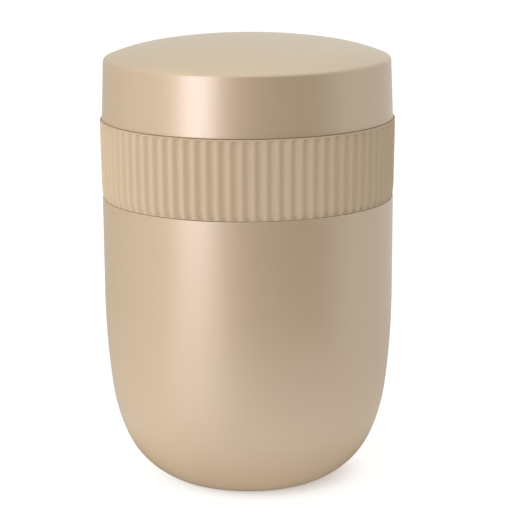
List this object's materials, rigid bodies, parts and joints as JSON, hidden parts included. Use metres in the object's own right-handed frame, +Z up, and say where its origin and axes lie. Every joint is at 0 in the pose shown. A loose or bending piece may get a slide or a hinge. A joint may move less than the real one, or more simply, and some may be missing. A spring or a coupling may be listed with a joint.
{
  "type": "insulated food jar",
  "caption": "Round double-walled steel food jar with a bowl-shaped base, a screw stopper with a press vent, and a domed screw lid with a ribbed grip sleeve.",
  "frame": {"origin": "on the floor, under the centre of the jar", "axes": "+Z up along the jar's axis; the pictured side faces -Y"},
  "size_m": [0.0958, 0.0958, 0.145],
  "materials": {
    "shell_paint": "metallic champagne powder coat on steel, satin",
    "steel": "brushed stainless steel",
    "sleeve_silicone": "matte silicone in the shell's colour",
    "foot_silicone": "matte dark silicone",
    "seal_silicone": "translucent white silicone",
    "liner_plastic": "food-grade polypropylene, fine satin",
    "stopper_plastic": "polypropylene, fine satin",
    "vent_plastic": "polypropylene, fine satin",
    "foam": "closed-cell insulating foam",
    "getter_metal": "sintered getter pellet",
    "seal_glass": "glass solder bead"
  },
  "bodies": {
    "jar": {"outer_shell": "shell_paint", "inner_vessel": "steel", "base_plate": "steel", "vacuum_seal": "seal_glass", "foot_pad": "foot_silicone", "getter": "getter_metal", "getter_strap": "steel"},
    "lid_seal": {"lid_gasket": "seal_silicone"},
    "lid": {"lid_shell": "shell_paint", "lid_liner": "liner_plastic", "lid_foam": "foam", "ribbed_sleeve": "sleeve_silicone"},
    "stopper_seal": {"stopper_gasket": "seal_silicone"},
    "stopper": {"stopper_base": "stopper_plastic", "stopper_top": "stopper_plastic", "stopper_foam": "foam", "vent_spring": "steel"},
    "vent": {"vent_button": "vent_plastic", "vent_stem": "steel", "vent_plug": "seal_silicone", "vent_clip": "steel"}
  },
  "joints": [
    {"name": "lid_rise", "type": "slide", "parent": "jar", "child": "lid_seal", "axis": [0, 0, 1], "range_m": [0, 0.042]},
    {"name": "lid_turn", "type": "hinge", "parent": "lid_seal", "child": "lid", "pos_m": [0, 0, 0.1188], "axis": [0, 0, 1], "range_deg": [0, 1260]},
    {"name": "stopper_rise", "type": "slide", "parent": "jar", "child": "stopper_seal", "axis": [0, 0, 1], "range_m": [0, 0.016]},
    {"name": "stopper_turn", "type": "hinge", "parent": "stopper_seal", "child": "stopper", "pos_m": [0, 0, 0.112], "axis": [0, 0, 1], "range_deg": [0, 720]},
    {"name": "vent_press", "type": "slide", "parent": "stopper", "child": "vent", "axis": [0, 0, -1], "range_m": [0, 0.0025], "stiffness_N_per_m": 800, "springref_m": -0.001, "deforming": ["vent_spring"]}
  ],
  "couplings": [
    {"joint": "lid_rise", "follows": "lid_turn", "m_per_rad": 0.0019099},
    {"joint": "stopper_rise", "follows": "stopper_turn", "m_per_rad": 0.0012732}
  ]
}
